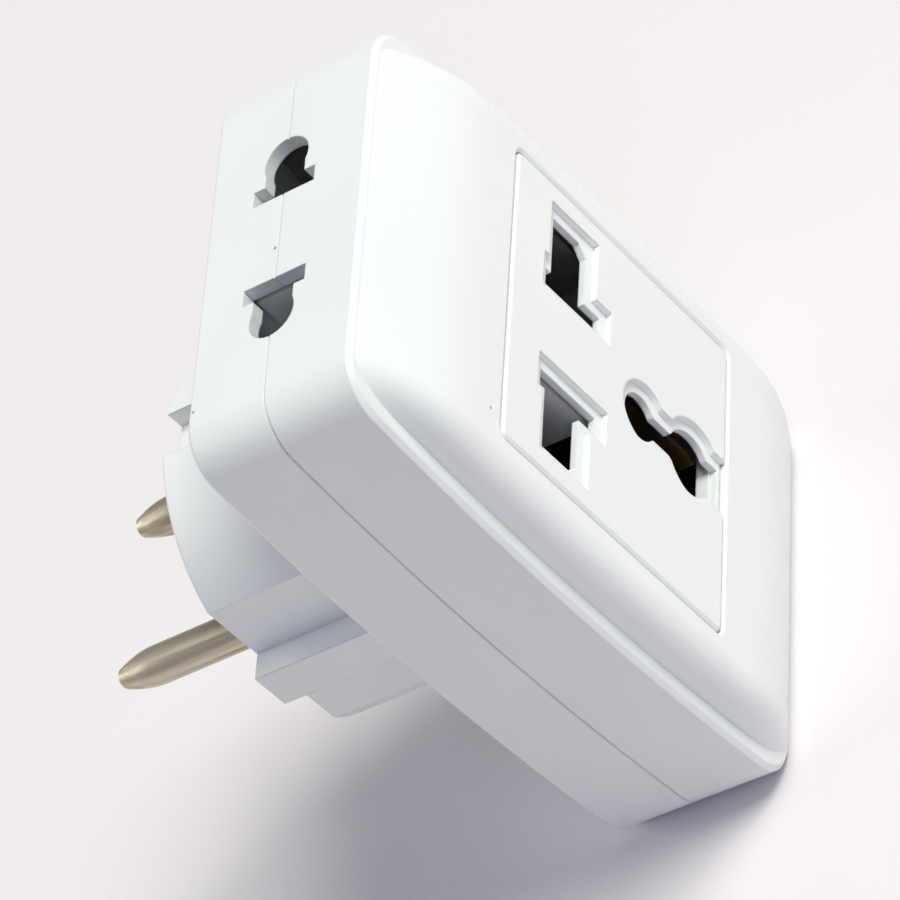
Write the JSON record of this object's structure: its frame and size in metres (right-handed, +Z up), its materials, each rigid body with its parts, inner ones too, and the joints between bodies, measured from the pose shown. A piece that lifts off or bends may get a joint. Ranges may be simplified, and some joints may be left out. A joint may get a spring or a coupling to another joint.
{
  "type": "multi socket adapter",
  "caption": "Moulded mains adapter with a round European plug on its back, a many-standard earthed outlet on its front and a flat-or-round-pin outlet in each end.",
  "frame": {"origin": "centre of the plug's face, midway between the two pins", "axes": "+Y along the pins, out of the back; -Y is the front with the earthed outlet; +Z is up along the case, away from the earth hole; +X is to the right seen from the front"},
  "size_m": [0.0486, 0.0593, 0.0692],
  "materials": {
    "case_plastic": "satin",
    "pin_metal": "satin",
    "contact_metal": "satin",
    "screw_steel": "satin"
  },
  "bodies": {
    "root": {"back_shell": "case_plastic", "front_shell": "case_plastic", "face_plate": "case_plastic", "plug_pin_left": "pin_metal", "plug_pin_right": "pin_metal", "live_bus": "contact_metal", "neutral_bus": "contact_metal", "live_front_contact": "contact_metal", "neutral_front_contact": "contact_metal", "earth_front_contact": "contact_metal", "live_top_contact": "contact_metal", "neutral_top_contact": "contact_metal", "live_bottom_contact": "contact_metal", "neutral_bottom_contact": "contact_metal", "earth_strap": "contact_metal", "case_screws": "screw_steel"}
  },
  "joints": []
}
